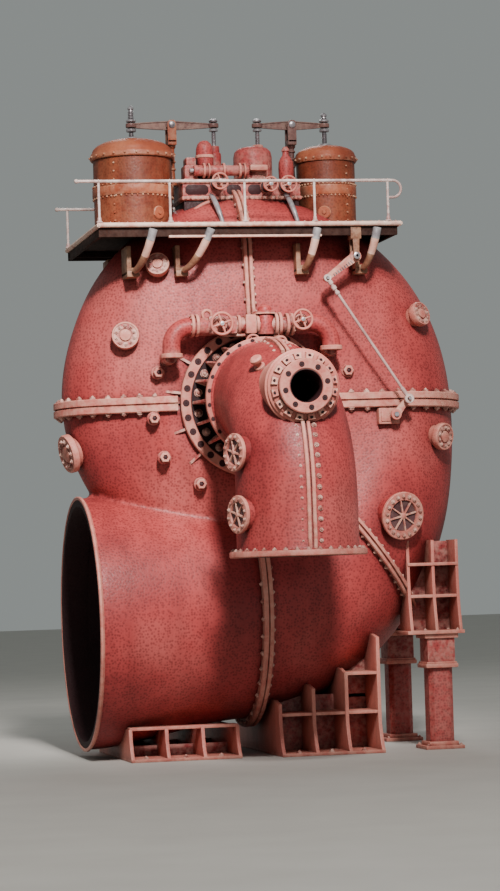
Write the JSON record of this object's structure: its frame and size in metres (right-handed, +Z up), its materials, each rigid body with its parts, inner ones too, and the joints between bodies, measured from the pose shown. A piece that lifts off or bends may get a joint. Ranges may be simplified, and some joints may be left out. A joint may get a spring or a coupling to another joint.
{
  "type": "steam turbine casing",
  "caption": "Spiral scroll casing of a large horizontal-shaft turbine with floor-level mouth, two outlet elbows, valve deck with drums and levers, on saddle feet.",
  "frame": {"origin": "centre of the bounding box at floor level", "axes": "+Z up, -Y towards the front outlet elbow, -X out of the mouth, Y along the shaft"},
  "size_m": [9.47, 14.1042, 14.86],
  "materials": {
    "casing_paint": "satin red-rose paint over cast and riveted plate",
    "trim_paint": "satin pale rose paint, worn at the edges",
    "drum_paint": "satin orange-brown paint",
    "bright_steel": "machined, oiled"
  },
  "bodies": {
    "machine": {"inlet_casing": "casing_paint", "lower_casing": "casing_paint", "side_casing": "casing_paint", "upper_casing_right": "casing_paint", "upper_casing_left": "casing_paint", "lantern_front": "casing_paint", "lantern_back": "casing_paint", "elbow_front": "casing_paint", "elbow_back": "casing_paint", "elbow_cover_upper_front": "casing_paint", "elbow_cover_upper_back": "casing_paint", "elbow_cover_lower_front": "casing_paint", "elbow_cover_lower_back": "casing_paint", "casing_cover_front": "casing_paint", "casing_cover_back": "casing_paint", "saddle_left": "casing_paint", "saddle_middle": "casing_paint", "side_foot_front": "casing_paint", "side_foot_back": "casing_paint", "column_front": "casing_paint", "column_back": "casing_paint", "deck_frame": "casing_paint", "lever_post_right": "casing_paint", "valve_chest": "casing_paint", "steam_pipe_run": "casing_paint", "deck_plate": "trim_paint", "handrail_front": "trim_paint", "handrail_back": "trim_paint", "drum_left": "drum_paint", "drum_right": "drum_paint"},
    "lever_left_body": {"lever_left": "trim_paint"},
    "lever_right_body": {"lever_right": "trim_paint"},
    "spindle_left_body": {"spindle_left": "bright_steel"},
    "spindle_right_body": {"spindle_right": "bright_steel"},
    "valve_rod_left_body": {"valve_rod_left": "bright_steel"},
    "valve_rod_right_body": {"valve_rod_right": "bright_steel"},
    "handwheel_chest_1_body": {"handwheel_chest_1": "trim_paint"},
    "handwheel_chest_2_body": {"handwheel_chest_2": "trim_paint"},
    "handwheel_chest_3_body": {"handwheel_chest_3": "trim_paint"},
    "handwheel_pipe_1_body": {"handwheel_pipe_1": "trim_paint"},
    "handwheel_pipe_2_body": {"handwheel_pipe_2": "trim_paint"},
    "rocker_arm_body": {"rocker_arm": "trim_paint"},
    "pull_rod_body": {"pull_rod": "bright_steel"},
    "crank_body": {"crank": "trim_paint"}
  },
  "joints": [
    {"name": "lever_left_pivot", "type": "hinge", "parent": "machine", "child": "lever_left_body", "pos_m": [-1.835, 0, 14.4], "axis": [0, 1, 0], "range_deg": [-6, 6]},
    {"name": "spindle_left_slide", "type": "slide", "parent": "machine", "child": "spindle_left_body", "axis": [0, 0, 1], "range_m": [-0.0973, 0.0973]},
    {"name": "valve_rod_left_slide", "type": "slide", "parent": "machine", "child": "valve_rod_left_body", "axis": [0, 0, 1], "range_m": [-0.1057, 0.1057]},
    {"name": "lever_right_pivot", "type": "hinge", "parent": "machine", "child": "lever_right_body", "pos_m": [0.985, 0, 14.4], "axis": [0, 1, 0], "range_deg": [-6, 6]},
    {"name": "spindle_right_slide", "type": "slide", "parent": "machine", "child": "spindle_right_body", "axis": [0, 0, 1], "range_m": [-0.0848, 0.0848]},
    {"name": "valve_rod_right_slide", "type": "slide", "parent": "machine", "child": "valve_rod_right_body", "axis": [0, 0, 1], "range_m": [-0.0837, 0.0837]},
    {"name": "handwheel_chest_1_turn", "type": "hinge", "parent": "machine", "child": "handwheel_chest_1_body", "pos_m": [-0.935, -1.05, 12.98], "axis": [0, -1, 0], "range_deg": [-360, 360]},
    {"name": "handwheel_chest_2_turn", "type": "hinge", "parent": "machine", "child": "handwheel_chest_2_body", "pos_m": [0.235, -1.05, 12.91], "axis": [0, -1, 0], "range_deg": [-360, 360]},
    {"name": "handwheel_chest_3_turn", "type": "hinge", "parent": "machine", "child": "handwheel_chest_3_body", "pos_m": [0.655, -1.05, 12.91], "axis": [0, -1, 0], "range_deg": [-360, 360]},
    {"name": "handwheel_pipe_1_turn", "type": "hinge", "parent": "machine", "child": "handwheel_pipe_1_body", "pos_m": [-1.355, -2.72, 9.6], "axis": [0, -1, 0], "range_deg": [-360, 360]},
    {"name": "handwheel_pipe_2_turn", "type": "hinge", "parent": "machine", "child": "handwheel_pipe_2_body", "pos_m": [0.475, -2.72, 9.67], "axis": [0, -1, 0], "range_deg": [-360, 360]},
    {"name": "rocker_arm_pivot", "type": "hinge", "parent": "machine", "child": "rocker_arm_body", "pos_m": [1.865, -2.14, 11.12], "axis": [0, -1, 0], "range_deg": [-5, 5]},
    {"name": "pull_rod_pivot", "type": "hinge", "parent": "rocker_arm_body", "child": "pull_rod_body", "pos_m": [1.165, -2.31, 10.62], "axis": [0, -1, 0], "range_deg": [-4.7, 4.7]},
    {"name": "crank_turn", "type": "hinge", "parent": "machine", "child": "crank_body", "pos_m": [2.695, -2.15, 7.56], "axis": [0, -1, 0], "range_deg": [-10.5, 10.5]}
  ],
  "couplings": [
    {"joint": "spindle_left_slide", "follows": "lever_left_pivot", "m_per_rad": 0.92},
    {"joint": "valve_rod_left_slide", "follows": "lever_left_pivot", "m_per_rad": -1},
    {"joint": "spindle_right_slide", "follows": "lever_right_pivot", "m_per_rad": -0.8},
    {"joint": "valve_rod_right_slide", "follows": "lever_right_pivot", "m_per_rad": 0.79},
    {"joint": "pull_rod_pivot", "follows": "rocker_arm_pivot", "ratio": -0.9235},
    {"joint": "crank_turn", "follows": "rocker_arm_pivot", "ratio": -2.0826}
  ]
}
